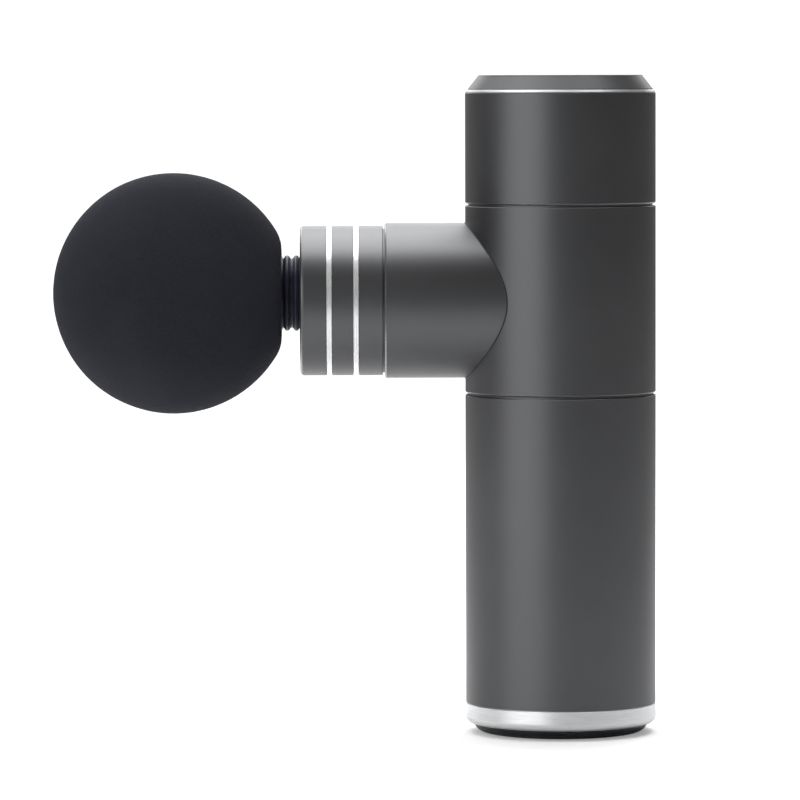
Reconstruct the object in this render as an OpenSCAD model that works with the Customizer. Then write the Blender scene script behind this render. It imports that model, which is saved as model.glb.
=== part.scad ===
// Pocket massage gun: T-shaped metal body, foam ball head, slider-crank drive.
// Origin: centre of the base face, on the body axis. +Z up, the arm points to -X.

/* [Body] */
// Outer diameter of the body tubes
body_d = 41.8; // [41.6:0.1:42.4]
// Height of the seam between the handle shell and the head housing
seam_low_z = 74.7; // [74.2:0.1:75.2]
// Height of the seam between the head housing and the motor cover
seam_high_z = 116.2; // [115.8:0.1:117]
// Overall height
total_h = 144.4; // [144:0.1:145.5]
// Height of the black base panel
panel_h = 2; // [1.8:0.05:2.2]
// Radius of the flat on the underside of the base panel
base_flat_r = 16.6; // [15.5:0.1:17.5]
// Height of the top of the bright base ring
base_ring_top = 6.4; // [6.2:0.05:7.1]
// Gap width of the dark seams
seam_gap = 0.45; // [0.3:0.05:0.5]
// Width of the small polished bevel beside each seam
seam_bevel = 0.35; // [0.2:0.05:0.4]

/* [Arm and collar] */
// Height of the arm axis
arm_z = 95; // [94.8:0.05:95.2]
// Height of the ram axis above the arm axis
ram_off = 1.7; // [1.2:0.1:1.8]
// Arm diameter
arm_d = 34; // [33.8:0.1:34.2]
// Distance from the body axis to the end of the arm
arm_end = 38.6; // [38.5:0.1:39.3]
// Collar diameter
collar_d = 32.8; // [32.4:0.1:33.2]
// Distance from the body axis to the front of the collar
collar_end = 57.1; // [57:0.1:57.6]
// Width of the bright inlay rings
inlay_w = 1.25; // [1:0.05:1.5]
// Distance of the front inlay ring from the body axis
inlay_front = 50.75; // [50.5:0.05:51.3]
// Distance of the rear inlay ring from the body axis
inlay_rear = 44.9; // [44.6:0.1:45.4]

/* [Head] */
// Ball diameter
ball_d = 53; // [52:0.1:54]
// Distance of the ball centre from the body axis
ball_x = 84.95; // [84.6:0.05:85.5]
// Distance of the flat on the ball from the body axis
ball_flat = 61.25; // [61.2:0.05:61.6]
// Largest diameter of the ribbed neck
neck_d = 16.6; // [16.2:0.1:16.8]

/* [Drive] */
// Crank radius, half of the stroke
crank_r = 3; // [2.5:0.1:3]
// Length of the connecting rod between its centres
rod_len = 22; // [21.9:0.1:22.1]
// Diameter of the piston
piston_d = 19.9; // [19.8:0.02:19.9]
// Bore of the guide sleeve
sleeve_bore = 20; // [20:0.02:20.06]

/* [Power] */
// Diameter of one cell with its wrap
cell_d = 18.4; // [18:0.1:18.4]
// Length of one cell
cell_len = 65; // [64.5:0.1:65]
// Power button diameter
button_d = 10; // [9:0.5:10.2]

/* [Hidden] */
$fn = 96;

R = body_d / 2;
Ri = 19.5;               // bore of the body tubes, round the cell pair
spig_r = Ri - 0.1;       // outside of the spigots in those bores
arm_r = arm_d / 2;
arm_ri = arm_r - 1.5;
col_r = collar_d / 2;
cell_r = cell_d / 2;
cell_y = cell_r + 0.05;
cell_z0 = 8.8;
wrist_x = crank_r - rod_len;   // wrist centre, crank at its rear dead centre
rod_t = 5;                     // rod thickness
board_x = 10.7;                // inner face of the main board, before the bay is turned
usb_z = 15;
plate_z = 104.9;
boss_r = 16.5;
ram_z = arm_z + ram_off;       // axis of piston, neck and ball
dz = ram_z - 94.65;            // the drive is drawn for a ram axis at 94.65 and raised by this
boss_a = [0, 120, 240];
led_a = [135, 165, 195, 225, 0];
led_r = 10.8;

shell_col = [0.24, 0.24, 0.25];
bright_col = [0.82, 0.83, 0.84];
black_col = [0.04, 0.04, 0.045];
steel_col = [0.6, 0.61, 0.63];
pcb_col = [0.05, 0.28, 0.14];

// points of an arc, for the revolved outlines
function arc(cx, cy, r, a0, a1, n = 6) = [for (i = [0:n]) let (a = a0 + (a1 - a0) * i / n) [cx + r * cos(a), cy + r * sin(a)]];
function unit(v) = v / norm(v);

// a solid revolved about the body axis from [radius, height] points
module about_body(pts) { rotate_extrude($fn = 96) polygon(pts); }
// a solid revolved about the arm axis from [radius, distance] points; distance is measured from the body axis towards -X
module about_arm(pts) { translate([0, 0, arm_z]) rotate([0, -90, 0]) rotate_extrude($fn = 96) polygon(pts); }
// the same about the ram axis
module about_ram(pts) { translate([0, 0, ram_off]) about_arm(pts); }
module raised() { translate([0, 0, dz]) children(); }
// cells, boards and charging port are drawn with the port at +X; the bay stands turned by 90 degrees, port at +Y
module bay() { rotate([0, 0, 90]) children(); }
module disc(r, z0, z1) { translate([0, 0, z0]) cylinder(r = r, h = z1 - z0); }
module tube(ro, ri, z0, z1) { difference() { disc(ro, z0, z1); disc(ri, z0 - 1, z1 + 1); } }
module at(r, a) { rotate([0, 0, a]) translate([r, 0, 0]) children(); }
// a stadium outline, w wide and h high
module stadium(w, h) {
  square([w - h, h], center = true);
  translate([-(w - h) / 2, 0]) circle(d = h, $fn = 32);
  translate([(w - h) / 2, 0]) circle(d = h, $fn = 32);
}
// an insulated wire swept along points
module wire(path, r, n = 8) {
  m = len(path);
  tan = [for (i = [0:m - 1]) unit(path[min(i + 1, m - 1)] - path[max(i - 1, 0)])];
  pts = [for (i = [0:m - 1]) let (u = unit(cross(tan[i], [0.31, 0.93, 0.19])), v = cross(tan[i], u))
    for (k = [0:n - 1]) path[i] + r * (cos(360 * k / n) * u + sin(360 * k / n) * v)];
  fs = concat(
    [for (i = [0:m - 2]) for (k = [0:n - 1]) [i * n + k, i * n + (k + 1) % n, (i + 1) * n + k]],
    [for (i = [0:m - 2]) for (k = [0:n - 1]) [i * n + (k + 1) % n, (i + 1) * n + (k + 1) % n, (i + 1) * n + k]],
    [[for (k = [n - 1:-1:0]) k]],
    [[for (k = [0:n - 1]) (m - 1) * n + k]]);
  polyhedron(points = pts, faces = fs);
}

// ---------- base: panel, button and its board ----------
module base_panel() {
  color(black_col) difference() {
    about_body(concat([[0, 0], [base_flat_r, 0]], arc(base_flat_r, 2.75, 2.75, -84, -17, 7),
      [[19.35, panel_h], [17.9, panel_h], [17.9, 4.3], [16.6, 4.3], [16.6, panel_h], [0, panel_h]]));
    disc(button_d / 2 + 0.3, -1, 3);
    for (a = led_a) at(led_r, a) disc(0.95, -1, 3);
  }
}
module power_button() {
  color([0.16, 0.16, 0.17]) about_body(concat([[0, 0.55], [button_d / 2 - 0.9, 0.55], [button_d / 2 - 0.7, 0.35]],
    arc(button_d / 2 - 0.35, 0.7, 0.35, -90, 0, 4), [[button_d / 2, 2.15], [button_d / 2 + 1.2, 2.15], [button_d / 2 + 1.2, 2.75], [1.6, 2.75], [1.6, 2.95], [0, 2.95]]));
}
module indicator_lenses() {
  color([0.85, 0.9, 0.92]) for (a = led_a) at(led_r, a) disc(0.9, 0.1, 3.3);
}
module indicator_lights() {
  color([0.95, 0.93, 0.8]) for (a = led_a) at(led_r, a) translate([-0.8, -0.4, 3.65]) cube([1.6, 0.8, 0.65]);
}
module tact_switch() {
  color(steel_col) union() {
    translate([-2.6, -2.6, 3.7]) cube([5.2, 5.2, 0.6]);
    disc(1.5, 3.55, 3.8);
  }
}
module control_board() {
  bay() color(pcb_col) union() {
    difference() {
      disc(17.6, 4.3, 5.3);
      translate([13.2, -4, 4]) cube([6, 8, 2]);
    }
    translate([-6.5, -2.2, 5.25]) cube([4.4, 4.4, 1.05]);
    translate([2, -6, 5.25]) cube([3, 2, 0.95]);
    translate([2, 4, 5.25]) cube([3, 2, 0.95]);
    translate([9.2, -3.5, 5.25]) cube([3.2, 7, 1.6]);
  }
}
module base_ring() {
  color(bright_col) about_body(concat([[18, panel_h], [19.55, panel_h]], arc(19.3, 3.6, 1.7, -60, 0, 7),
    [[R, base_ring_top - 0.15], [R - 0.15, base_ring_top], [spig_r, base_ring_top], [spig_r, 10.5], [spig_r - 0.6, 10.5], [spig_r - 0.6, 6.4], [18, 6.4]]));
}

// ---------- handle ----------
module handle_shell() {
  color(shell_col) difference() {
    about_body([[Ri, base_ring_top], [R - 0.15, base_ring_top], [R, base_ring_top + 0.15], [R, seam_low_z - seam_gap - 0.1],
      [R - 0.1, seam_low_z - seam_gap], [Ri, seam_low_z - seam_gap]]);
    bay() translate([17, 0, usb_z]) rotate([90, 0, 90]) linear_extrude(6) stadium(9.4, 3.7);
  }
}
module usb_c_socket() {
  bay() color(steel_col) union() {
    translate([12.3, 0, usb_z]) rotate([90, 0, 90]) difference() {
      linear_extrude(7.9) stadium(8.94, 3.26);
      translate([0, 0, 1.6]) linear_extrude(9) stadium(8.34, 2.66);
    }
    translate([13.8, -3.33, usb_z - 0.35]) cube([5.6, 6.66, 0.7]);
    for (s = [-1, 1]) translate([12.3, s * 4.9 - 0.5, usb_z - 1.3]) cube([2.2, 1, 2.6]);
  }
}
module main_board() {
  bay() color(pcb_col) difference() {
    translate([board_x, -12.5, 9.6]) cube([1.6, 25, 56]);
    for (z = [24, 62]) translate([board_x - 1, 0, z]) rotate([0, 90, 0]) cylinder(r = 1.15, h = 4);
    for (s = [-1, 1]) translate([board_x - 1, s * 12.5, 9.6]) rotate([45, 0, 0]) cube([6, 2.4, 2.4], center = true);
  }
}
module board_parts() {
  x = board_x + 1.6;
  bay() color([0.1, 0.1, 0.11]) union() {
    // controller, gate driver and the six bridge transistors
    translate([x, -3, 29]) cube([1, 6, 6]);
    translate([x, -2.5, 38]) cube([1, 5, 5]);
    for (z = [37, 42.2, 47.4]) for (s = [-1, 1]) translate([x, s * 8 - 1.8, z]) cube([1.1, 3.6, 4.2]);
    // charger chip, coil and capacitors
    translate([x, -9.6, 20]) cube([1, 4, 4]);
    translate([x, 5.2, 19.4]) cube([2.6, 5, 5]);
    for (s = [-1, 1]) translate([x, s * 8.2, 31]) rotate([0, 90, 0]) cylinder(r = 2, h = 3.6, $fn = 48);
    // lead sockets
    translate([x, -4.6, 53.4]) cube([3, 9.2, 5]);
    translate([x, 6, 54.4]) cube([3, 5, 4]);
  }
}
module board_screws() {
  bay() color(steel_col) for (z = [24, 62]) translate([0, 0, z]) rotate([0, 90, 0]) difference() {
    union() {
      translate([0, 0, board_x + 1.6]) cylinder(r = 1.9, h = 1.2, $fn = 48);
      translate([0, 0, 5.6]) cylinder(r = 0.95, h = board_x + 1.8 - 5.6, $fn = 48);
    }
    translate([0, 0, board_x + 2.2]) cylinder(r = 0.9, h = 2, $fn = 6);
  }
}
module battery_cells() {
  bay() color([0.12, 0.35, 0.62]) for (s = [-1, 1]) translate([0, s * cell_y, 0]) {
    disc(cell_r, cell_z0 + (s > 0 ? 0.9 : 0), cell_z0 + cell_len - (s < 0 ? 0.9 : 0));
    if (s < 0) disc(2.9, cell_z0 + cell_len - 0.95, cell_z0 + cell_len);
    else disc(2.9, cell_z0, cell_z0 + 0.95);
  }
}
module cell_tabs() {
  bay() color([0.72, 0.72, 0.7]) {
    translate([-3, -13, cell_z0 - 0.15]) cube([6, 26, 0.15]);
    for (s = [-1, 1]) translate([-3, s * 9.2 - 3.5, cell_z0 + cell_len]) cube([9, 7, 0.15]);
  }
}
module battery_carrier() {
  bay() color([0.2, 0.2, 0.21]) difference() {
    union() {
      difference() {
        disc(spig_r - 0.75, 7.3, 8.6);
        translate([13, -4.6, 7]) cube([8, 9.2, 3]);
        translate([-20, -4.6, 7]) cube([6, 9.2, 3]);
      }
      for (s = [-1, 1]) translate([s * (board_x + 1.4) / 2 - (board_x - 1.6) / 2, -6.6, 8]) cube([board_x - 1.6, 13.2, 66]);
    }
    for (s = [-1, 1]) translate([0, s * cell_y, 8.6]) cylinder(r = cell_r + 0.12, h = 70);
    for (z = [24, 62]) translate([5.5, 0, z]) rotate([0, 90, 0]) cylinder(r = 1, h = 8, $fn = 48);
    for (s = [-1, 1]) translate([s * 7.5, 0, 66]) cylinder(r = 1, h = 10, $fn = 48);
    // room for the bottom tab and the top tabs
    translate([-3.2, -13.2, 8.58]) cube([6.4, 26.4, 0.4]);
    translate([-7, -20, 73.2]) cube([14, 40, 2]);
  }
}
module battery_leads() {
  bay() color([0.65, 0.08, 0.07]) wire([[4.6, -8.6, 74.45], [8, -5, 74.49], [11.3, 1, 74.49], [13.3, 5, 72.6], [13.9, 7.4, 68], [13.9, 7.6, 63], [13.9, 7.6, 58.4]], 0.45);
  bay() color([0.05, 0.05, 0.05]) wire([[4.6, 11.2, 74.45], [8.4, 11.4, 74.49], [11.6, 11, 73.4], [13.5, 10, 69.6], [13.9, 9.6, 66], [13.9, 9.6, 62], [13.9, 9.6, 58.4]], 0.45);
}
module bay_lid() {
  bay() color([0.2, 0.2, 0.21]) difference() {
    disc(spig_r, 74.95, 76.6);
    translate([11.4, -13, 74]) cube([10, 26, 4]);
    for (s = [-1, 1]) translate([s * 7.5, 0, 0]) disc(1.15, 74, 78);
  }
}
module lid_screws() {
  bay() color(steel_col) for (s = [-1, 1]) translate([s * 7.5, 0, 0]) difference() {
    union() { disc(1.9, 76.6, 77.9); disc(0.95, 67, 76.8); }
    translate([0, 0, 77.2]) cylinder(r = 1, h = 2, $fn = 6);
  }
}

// ---------- housings ----------
module head_housing() {
  g = seam_gap; b = seam_bevel; z = seam_low_z; t = seam_high_z;
  color(shell_col) difference() {
    union() {
      difference() {
        union() {
          about_body([[spig_r - 0.75, z - 4], [spig_r, z - 4], [spig_r, z - g], [R - 0.7, z - g], [R - 0.7, z], [R - b, z], [R, z + b],
            [R, t - g - 0.1], [R - 0.1, t - g], [Ri, t - g], [Ri, z + 0.25], [spig_r - 0.75, z + 0.25]]);
          about_arm([[0, 12], [arm_r, 12], [arm_r, arm_end - b], [arm_r - b, arm_end], [0, arm_end]]);
        }
        disc(Ri, z + 0.25, t + 5);
        translate([-10, 0, arm_z]) rotate([0, -90, 0]) cylinder(r = arm_ri, h = 40);
      }
      // screw bosses under the motor plate, grown from the wall
      intersection() {
        for (a = boss_a) at(boss_r, a) union() {
          disc(2.3, 98 + dz, plate_z + dz);
          translate([0, -2.3, 98 + dz]) cube([4, 4.6, plate_z - 98]);
        }
        disc(Ri + 0.3, 90, 112);
      }
    }
    for (a = boss_a) at(boss_r, a) disc(1.0, 99.2 + dz, plate_z + dz + 1);
  }
}
module motor_cover() {
  g = seam_gap; b = seam_bevel; t = seam_high_z;
  color(shell_col) about_body([[spig_r - 0.8, t - 4], [spig_r, t - 4], [spig_r, t - g], [R - 0.7, t - g], [R - 0.7, t], [R - b, t], [R, t + b],
    [R, total_h - 4.05], [R - 0.1, total_h - 3.85], [Ri, total_h - 3.85], [Ri, t + 0.6], [spig_r - 0.8, t]]);
}
module top_trim_ring() {
  h = total_h;
  color(bright_col) about_body([[spig_r + 0.05, h - 3.85], [R - 0.1, h - 3.85], [R - 0.15, h - 3.7], [R - 0.5, h - 3.2], [spig_r + 0.05, h - 3.2]]);
}
module top_cap() {
  h = total_h;
  color(shell_col) about_body([[0, h - 2], [0, h], [R - 3.15, h], [R - 2.9, h - 0.12], [R - 2.75, h - 0.35], [R - 0.65, h - 3.05], [R - 0.65, h - 3.2],
    [spig_r, h - 3.2], [spig_r, h - 8.2], [spig_r - 1.4, h - 8.2], [spig_r - 1.4, h - 3.4], [spig_r - 3, h - 2]]);
}

// ---------- motor ----------
module motor_plate() {
  raised() color([0.7, 0.71, 0.73]) difference() {
    disc(spig_r, plate_z, plate_z + 2.5);
    disc(8, plate_z - 1, plate_z + 4);
    for (a = boss_a) at(boss_r, a) disc(1.15, plate_z - 1, plate_z + 4);
    for (a = [45:90:315]) at(10, a) { disc(1.1, plate_z - 1, plate_z + 4); disc(2, plate_z - 1, plate_z + 1.2); }
    // passage for the motor leads
    at(17.6, 35) translate([0, 0, plate_z - 1]) linear_extrude(5) square([4.6, 7.6], center = true);
  }
}
module plate_screws() {
  raised() color(steel_col) for (a = boss_a) at(boss_r, a) difference() {
    union() { disc(1.9, plate_z + 2.5, plate_z + 3.9); disc(0.95, 99.4, plate_z + 2.7); }
    translate([0, 0, plate_z + 3.1]) cylinder(r = 1, h = 2, $fn = 6);
  }
}
module motor_base() {
  z = plate_z + 2.5;
  raised() color([0.72, 0.73, 0.75]) difference() {
    about_body([[3.2, plate_z + 0.5], [7.9, plate_z + 0.5], [7.9, z], [12.3, z], [12.3, z + 1.9], [6.2, z + 1.9], [6.2, 128],
      [5.05, 128], [5.05, 123.8], [3.2, 123.8], [3.2, 112.2], [5.05, 112.2], [5.05, 107.9], [3.2, 107.9]]);
    for (a = [45:90:315]) at(10, a) disc(1.05, z - 1, z + 1.6);
  }
}
module motor_screws() {
  raised() color(steel_col) for (a = [45:90:315]) at(10, a) difference() {
    union() { disc(1.9, plate_z + 0.1, plate_z + 1.15); disc(1, plate_z + 1, plate_z + 3.9); }
    translate([0, 0, plate_z - 0.4]) cylinder(r = 0.8, h = 1.1, $fn = 6);
  }
}
module motor_bearings() {
  raised() color([0.75, 0.76, 0.78]) for (z = [108, 123.9]) about_body([[2.53, z], [3.5, z], [3.6, z + 0.25], [4.1, z + 0.25], [4.2, z], [5, z], [5, z + 4], [4.2, z + 4],
    [4.1, z + 3.75], [3.6, z + 3.75], [3.5, z + 4], [2.53, z + 4]]);
}
module hall_board() {
  raised() color(pcb_col) union() {
    difference() {
      tube(12.2, 6.4, 109.4, 110.2);
      at(10.5, 200) disc(1, 109, 111);
      at(11.7, 35) translate([0, -2.2, 109]) cube([2, 4.4, 2]);
    }
    for (a = [100, 140, 240]) at(10.3, a) translate([-0.8, -1.5, 110.1]) cube([1.6, 3, 0.8]);
  }
}
module stator_core() {
  raised() color([0.42, 0.43, 0.45]) translate([0, 0, 112.5]) linear_extrude(11) difference() {
    union() {
      circle(r = 8.1);
      for (i = [0:8]) rotate(40 * i) {
        translate([7.5, -1.3]) square([4.2, 2.6]);
        intersection() {
          difference() { circle(r = 12.4); circle(r = 11.3); }
          polygon([[0, 0], [14, -4.6], [14, 4.6]]);
        }
      }
    }
    circle(r = 6.25);
  }
}
module windings() {
  raised() color([0.72, 0.38, 0.16]) for (i = [0:8]) rotate([0, 0, 40 * i]) difference() {
    translate([8.45, -2.4, 111.35]) cube([2.4, 4.8, 13.3]);
    translate([8, -1.4, 112.4]) cube([4, 2.8, 11.2]);
  }
}
module motor_leads() {
  for (k = [-1:1]) color([0.75 - 0.3 * (k + 1), 0.5, 0.1 + 0.3 * (k + 1)]) let (a = 35 + 6 * k) wire(concat(
    [for (p = [[11.4, 0, 110.75 + dz], [13.6, 0, 110.3 + dz], [16.1, 0, 109.6 + dz], [17.2, 0, 107.6 + dz], [17.2, 0, 100], [17.2, 3, 92], [17.2, 13, 85], [17.2, 24, 79.5], [17, 31, 74], [16.4, 38, 70]])
      [p[0] * cos(a + p[1]), p[0] * sin(a + p[1]), p[2]]],
    [[2.4 - 2.5 * k, 14.7, 66], [0.7 - 2.6 * k, 14.3, 63.4], [-2.6 * k, 14.2, 61], [-2.6 * k, 14.2, 58.4]]), 0.5);
}
module rotor_can() {
  raised() color([0.2, 0.2, 0.22]) difference() {
    about_body([[14.6, 111.2], [15.8, 111.2], [15.8, 130.2], [15.4, 130.6], [4.6, 130.6], [4.6, 133.6], [2.52, 133.6], [2.52, 129], [14.6, 129]]);
    for (a = [30:60:330]) at(9.8, a) disc(2.6, 128, 132);
  }
}
module magnets() {
  raised() color([0.55, 0.56, 0.58]) for (i = [0:11]) rotate([0, 0, 30 * i]) rotate_extrude(angle = 28, $fn = 96) translate([12.75, 112]) square([1.8, 12]);
}
module motor_shaft() {
  raised() color([0.7, 0.71, 0.73]) about_body([[0, 98.9], [2.3, 98.9], [2.5, 99.1], [2.5, 133.8], [2.3, 134], [0, 134]]);
}
module crank_disc() {
  raised() color([0.55, 0.52, 0.42]) difference() {
    union() {
      disc(9, 98.4, 104.3);
      // counterweight opposite the journal
      intersection() {
        disc(13, 98.4, 104.3);
        translate([-14, -14, 98]) cube([14, 28, 8]);
      }
      translate([crank_r, 0, 0]) { disc(4, 91.85, 98.5); disc(5.1, 96.95, 98.5); }
    }
    disc(2.52, 98.85, 105);
    translate([crank_r, 0, 0]) disc(1.28, 91, 97.4);
    translate([0, 0, 101.8]) rotate([-90, 0, 0]) cylinder(r = 1.5, h = 20, $fn = 48);
  }
}
module crank_screw() {
  raised() color(steel_col) translate([crank_r, 0, 0]) difference() {
    union() { disc(5.2, 91.1, 91.85); disc(2.75, 88.9, 91.2); disc(1.25, 91, 97.1); }
    translate([0, 0, 88]) cylinder(r = 1.35, h = 2.4, $fn = 6);
  }
}
module grub_screw() {
  raised() color([0.15, 0.15, 0.16]) translate([0, 0, 101.8]) rotate([-90, 0, 0]) difference() {
    translate([0, 0, 2.55]) cylinder(r = 1.45, h = 4.5, $fn = 48);
    translate([0, 0, 5.4]) cylinder(r = 0.85, h = 3, $fn = 6);
  }
}

// ---------- rod and piston ----------
module connecting_rod() {
  color([0.68, 0.69, 0.72]) translate([0, 0, ram_z - rod_t / 2]) difference() {
    union() {
      translate([crank_r, 0, 0]) cylinder(r = 10.5, h = rod_t);
      translate([wrist_x, 0, 0]) cylinder(r = 5, h = rod_t);
      linear_extrude(rod_t) polygon([[crank_r - 5, -7.6], [wrist_x, -3.9], [wrist_x, 3.9], [crank_r - 5, 7.6]]);
    }
    translate([crank_r, 0, -1]) cylinder(r = 8.03, h = rod_t + 2);
    translate([wrist_x, 0, -1]) cylinder(r = 3.03, h = rod_t + 2);
    // lightening pockets, leaving a web
    for (z = [-1, rod_t - 1.3]) translate([0, 0, z]) linear_extrude(2.3)
      polygon([[crank_r - 11.5, -3.9], [wrist_x + 6, -2.5], [wrist_x + 6, 2.5], [crank_r - 11.5, 3.9]]);
  }
}
module big_end_bearing() {
  z = ram_z - 2;
  color([0.75, 0.76, 0.78]) translate([crank_r, 0, 0]) about_body([[4.03, z], [5.3, z], [5.4, z + 0.25], [6.8, z + 0.25], [6.9, z], [8, z], [8, z + 4], [6.9, z + 4],
    [6.8, z + 3.75], [5.4, z + 3.75], [5.3, z + 4], [4.03, z + 4]]);
}
module small_end_bush() {
  color([0.72, 0.55, 0.25]) translate([wrist_x, 0, 0]) tube(3, 2.03, ram_z - rod_t / 2, ram_z + rod_t / 2);
}
module wrist_pin() {
  color([0.7, 0.71, 0.73]) translate([wrist_x, 0, 0]) disc(2, ram_z - rod_t / 2, ram_z + rod_t / 2);
}
module piston() {
  p = piston_d / 2;
  color([0.66, 0.67, 0.7]) difference() {
    union() {
      about_ram([[0, 30.6], [p - 0.5, 30.6], [p, 31.1], [p, collar_end - 1], [p - 0.4, collar_end - 0.6], [8.65, collar_end - 0.6], [8.25, collar_end - 1], [8.25, 42], [5, 42], [5, 33.4], [0, 33.4]]);
      // fork cheeks above and below the rod's small end
      for (s = [-1, 1]) translate([0, 0, ram_z + s * 4.7 - 1.9]) {
        translate([wrist_x, 0, 0]) cylinder(r = 5, h = 3.8);
        translate([-31, -5, 0]) cube([31 + wrist_x, 10, 3.8]);
      }
    }
    translate([wrist_x, 0, ram_z - 10]) cylinder(r = 2.05, h = 20);
  }
}
module socket_bumper() {
  color([0.08, 0.08, 0.08]) about_ram([[5.2, 42], [8.15, 42], [8.15, 43], [5.2, 43]]);
}
module guide_sleeve() {
  color([0.85, 0.84, 0.78]) about_ram([[sleeve_bore / 2, 32], [11.9, 32], [11.9, 53], [sleeve_bore / 2, 53]]);
}
module wiper_seal() {
  color([0.06, 0.06, 0.06]) about_ram([[10.05, 53.15], [11.9, 53.15], [11.9, 55.1], [10.9, 55.1], [10.5, 54.2], [10.05, 53.9]]);
}
module collar() {
  e = collar_end; w = inlay_w / 2 + 0.03;
  color(shell_col) difference() {
    about_arm(concat([[0, 32], [arm_ri - 0.05, 32], [arm_ri - 0.05, arm_end + 0.04], [col_r - 0.6, arm_end + 0.04], [col_r - 0.6, arm_end + 0.45], [col_r - 0.1, arm_end + 0.45], [col_r, arm_end + 0.55],
        [col_r, inlay_rear - w], [col_r - 0.8, inlay_rear - w], [col_r - 0.8, inlay_rear + w], [col_r, inlay_rear + w],
        [col_r, inlay_front - w], [col_r - 0.8, inlay_front - w], [col_r - 0.8, inlay_front + w], [col_r, inlay_front + w]],
      arc(col_r - 0.8, e - 0.8, 0.8, 0, 90, 6), [[0, e]]));
    // the bore for sleeve, seal and neck, on the ram axis
    about_ram([[0, 31], [12, 31], [12, 55.4], [10.5, 55.4], [10.5, e - 0.4], [10.9, e], [10.9, e + 1], [0, e + 1]]);
  }
}
module inlay_ring(x) { color(bright_col) about_arm([[col_r - 0.78, x - inlay_w / 2], [col_r - 0.2, x - inlay_w / 2], [col_r - 0.1, x - inlay_w / 2 + 0.1],
  [col_r - 0.1, x + inlay_w / 2 - 0.1], [col_r - 0.2, x + inlay_w / 2], [col_r - 0.78, x + inlay_w / 2]]); }
module inlay_ring_front() { inlay_ring(inlay_front); }
module inlay_ring_rear() { inlay_ring(inlay_rear); }

// ---------- massage head ----------
// barbed core that the foam is moulded on; c widens it into the foam's cavity
module core_outline(c) {
  polygon([[0, ball_flat - 3], [8 + c, ball_flat - 3], [8 + c, 66.5], [9.6 + c, 66.5], [9.6 + c, 68.2], [7 + c, 69.4], [7 + c, 72], [8.6 + c, 72], [8.6 + c, 73.4], [5.5 + c, 77 + c], [0, 77 + c]]);
}
module head_adapter() {
  n = neck_d / 2;
  color(black_col) union() {
    about_ram(concat([[0, 43.6], [6.8, 43.6], [7.4, 44.2], [7.4, 46], [6.3, 46], [6.3, 48], [7.8, 48], [7.8, 51.4], [6.3, 51.4], [6.3, 53.4], [7.8, 53.4], [7.8, 56.2],
        [n - 0.75, 56.6]],
      arc(n - 0.6, 58.0, 0.6, -75, 75, 6), arc(n - 0.3, 59.0, 0.42, 250, 110, 4), arc(n - 0.6, 60.0, 0.6, -75, 75, 6),
      [[n - 0.75, 60.9], [n - 0.75, 61.2], [0, 61.2]]));
    translate([0, 0, ram_z]) rotate([0, -90, 0]) rotate_extrude($fn = 96) difference() {
      core_outline(0);
      square([20, 61]);
    }
  }
}
module adapter_o_rings() {
  color([0.05, 0.05, 0.05]) for (x = [47, 52.4]) about_ram(arc(7.25, x, 0.92, 0, 345, 23));
}
module ball_foam() {
  color([0.1, 0.1, 0.115]) difference() {
    intersection() {
      translate([-ball_x, 0, ram_z]) sphere(r = ball_d / 2, $fn = 128);
      about_ram([[0, ball_flat], [10.2, ball_flat], [18, ball_flat + 2.3], [40, ball_flat + 2.3], [40, 130], [0, 130]]);
    }
    translate([0, 0, ram_z]) rotate([0, -90, 0]) rotate_extrude($fn = 96) core_outline(0.05);
  }
}

base_panel();
power_button();
indicator_lenses();
indicator_lights();
tact_switch();
control_board();
base_ring();
handle_shell();
usb_c_socket();
main_board();
board_parts();
board_screws();
battery_cells();
cell_tabs();
battery_carrier();
battery_leads();
bay_lid();
lid_screws();
head_housing();
motor_cover();
top_trim_ring();
top_cap();
motor_plate();
plate_screws();
motor_base();
motor_screws();
motor_bearings();
hall_board();
stator_core();
windings();
motor_leads();
rotor_can();
magnets();
motor_shaft();
crank_disc();
crank_screw();
grub_screw();
connecting_rod();
big_end_bearing();
small_end_bush();
wrist_pin();
piston();
socket_bumper();
guide_sleeve();
wiper_seal();
collar();
inlay_ring_front();
inlay_ring_rear();
head_adapter();
adapter_o_rings();
ball_foam();
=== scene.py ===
import bpy, bmesh, math
from mathutils import Vector, Matrix, noise


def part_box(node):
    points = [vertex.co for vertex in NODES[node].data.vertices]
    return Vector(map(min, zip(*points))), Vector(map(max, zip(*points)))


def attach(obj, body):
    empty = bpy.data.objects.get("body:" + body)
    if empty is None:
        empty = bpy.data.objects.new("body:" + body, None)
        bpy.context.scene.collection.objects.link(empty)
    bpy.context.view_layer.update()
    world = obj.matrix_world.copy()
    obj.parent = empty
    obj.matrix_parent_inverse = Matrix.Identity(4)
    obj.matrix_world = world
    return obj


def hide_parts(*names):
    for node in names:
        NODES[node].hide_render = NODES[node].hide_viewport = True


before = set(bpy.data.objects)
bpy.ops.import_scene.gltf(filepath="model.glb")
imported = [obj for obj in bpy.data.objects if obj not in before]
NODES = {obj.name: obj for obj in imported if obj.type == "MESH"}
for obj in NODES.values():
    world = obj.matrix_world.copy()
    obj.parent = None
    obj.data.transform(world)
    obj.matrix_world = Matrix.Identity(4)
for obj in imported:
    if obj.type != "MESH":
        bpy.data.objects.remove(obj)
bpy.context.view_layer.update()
scene = bpy.context.scene
scene.view_settings.view_transform = "Standard"
scene.view_settings.look = "None"

MM = 0.001

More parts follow.
